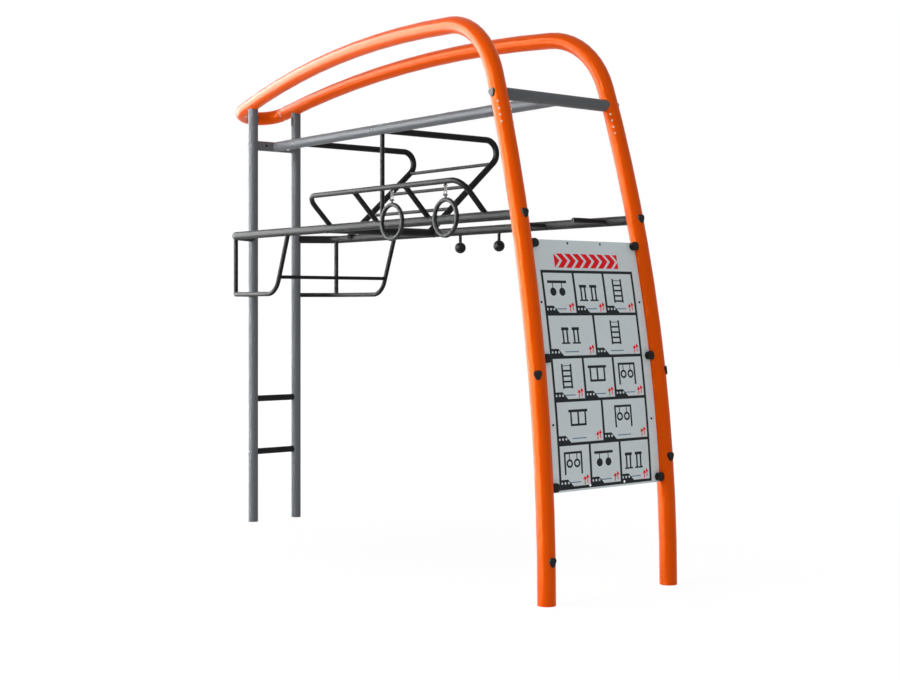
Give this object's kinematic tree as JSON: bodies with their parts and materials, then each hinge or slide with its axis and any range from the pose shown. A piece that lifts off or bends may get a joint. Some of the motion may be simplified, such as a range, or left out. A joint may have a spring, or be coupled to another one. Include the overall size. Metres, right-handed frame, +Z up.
{
  "type": "pull-up station",
  "caption": "Outdoor pull-up station: arched tube legs and posts carry parallel rails, a pull-up bar with hanging rings, an overhead ladder, ball grips, stub handles and a curved sign.",
  "frame": {"origin": "middle of the station's bounding box at ground level", "axes": "+X from the posts to the feet of the orange legs, +Y to the overhead ladder's side, +Z up"},
  "size_m": [4.212, 1.7759, 3.5437],
  "materials": {
    "orange_paint": "glossy orange powder coat",
    "grey_paint": "satin grey powder coat",
    "black_paint": "satin black powder coat",
    "stainless": "bright stainless steel",
    "sign_board": "pale printed laminate board",
    "ring_rubber": "dark grip coating"
  },
  "bodies": {
    "frame": {"arch_tube_bar_side": "orange_paint", "arch_tube_ladder_side": "orange_paint", "ball_grip_1": "black_paint", "ball_grip_2": "black_paint", "bar_leg_1": "black_paint", "bar_leg_2": "black_paint", "bolt_cover_bar_side_1": "black_paint", "bolt_cover_bar_side_2": "black_paint", "bolt_cover_bar_side_3": "black_paint", "bolt_cover_bar_side_4": "black_paint", "bolt_cover_ladder_side_1": "black_paint", "bolt_cover_ladder_side_2": "black_paint", "bolt_cover_ladder_side_3": "black_paint", "bolt_cover_ladder_side_4": "black_paint", "bow_splice_bar_side": "stainless", "bow_splice_ladder_side": "stainless", "centre_strut": "black_paint", "end_bow": "orange_paint", "ladder_rail_front": "black_paint", "ladder_rail_rear": "black_paint", "ladder_rung_1": "black_paint", "ladder_rung_2": "black_paint", "ladder_rung_3": "black_paint", "leg_crossbar": "grey_paint", "leg_splice_bar_side": "stainless", "leg_splice_ladder_side": "stainless", "leg_tube_bar_side": "orange_paint", "leg_tube_ladder_side": "orange_paint", "low_crossbar": "black_paint", "low_strut_bar_side": "black_paint", "low_strut_ladder_side": "black_paint", "low_tube_bar_side": "black_paint", "low_tube_ladder_side": "black_paint", "post_bar_side": "grey_paint", "post_crossbar": "grey_paint", "post_ladder_side": "grey_paint", "post_rung_lower": "black_paint", "post_rung_upper": "black_paint", "pull_up_bar": "black_paint", "rail_bar_side": "black_paint", "rail_crossbar": "black_paint", "rail_ladder_side": "black_paint", "sign_clamp_bar_side_bottom": "black_paint", "sign_clamp_bar_side_middle": "black_paint", "sign_clamp_bar_side_top": "black_paint", "sign_clamp_ladder_side_bottom": "black_paint", "sign_clamp_ladder_side_middle": "black_paint", "sign_clamp_ladder_side_top": "black_paint", "sign_panel": "sign_board", "stub_handle_1": "black_paint", "stub_handle_2": "black_paint", "top_beam": "grey_paint"},
    "upper_shackle_rear": {"upper_shackle_rear": "stainless"},
    "lower_shackle_rear": {"lower_shackle_rear": "stainless"},
    "ring_rear": {"ring_rear": "ring_rubber"},
    "upper_shackle_front": {"upper_shackle_front": "stainless"},
    "lower_shackle_front": {"lower_shackle_front": "stainless"},
    "ring_front": {"ring_front": "ring_rubber"}
  },
  "joints": [
    {"name": "upper_shackle_rear_swing", "type": "hinge", "parent": "frame", "child": "upper_shackle_rear", "pos_m": [0.78065, -0.87084, 2.42503], "axis": [1, 0, 0], "range_deg": [-60, 20]},
    {"name": "lower_shackle_rear_swing", "type": "hinge", "parent": "upper_shackle_rear", "child": "lower_shackle_rear", "pos_m": [0.78065, -0.87084, 2.40083], "axis": [0, 1, 0], "range_deg": [-25, 25]},
    {"name": "ring_rear_swing", "type": "hinge", "parent": "lower_shackle_rear", "child": "ring_rear", "pos_m": [0.78065, -0.87084, 2.36932], "axis": [0, 1, 0], "range_deg": [-25, 25]},
    {"name": "upper_shackle_front_swing", "type": "hinge", "parent": "frame", "child": "upper_shackle_front", "pos_m": [1.32766, -0.87084, 2.42503], "axis": [1, 0, 0], "range_deg": [-60, 20]},
    {"name": "lower_shackle_front_swing", "type": "hinge", "parent": "upper_shackle_front", "child": "lower_shackle_front", "pos_m": [1.32766, -0.87084, 2.40083], "axis": [0, 1, 0], "range_deg": [-25, 25]},
    {"name": "ring_front_swing", "type": "hinge", "parent": "lower_shackle_front", "child": "ring_front", "pos_m": [1.32766, -0.87084, 2.36932], "axis": [0, 1, 0], "range_deg": [-25, 25]}
  ]
}
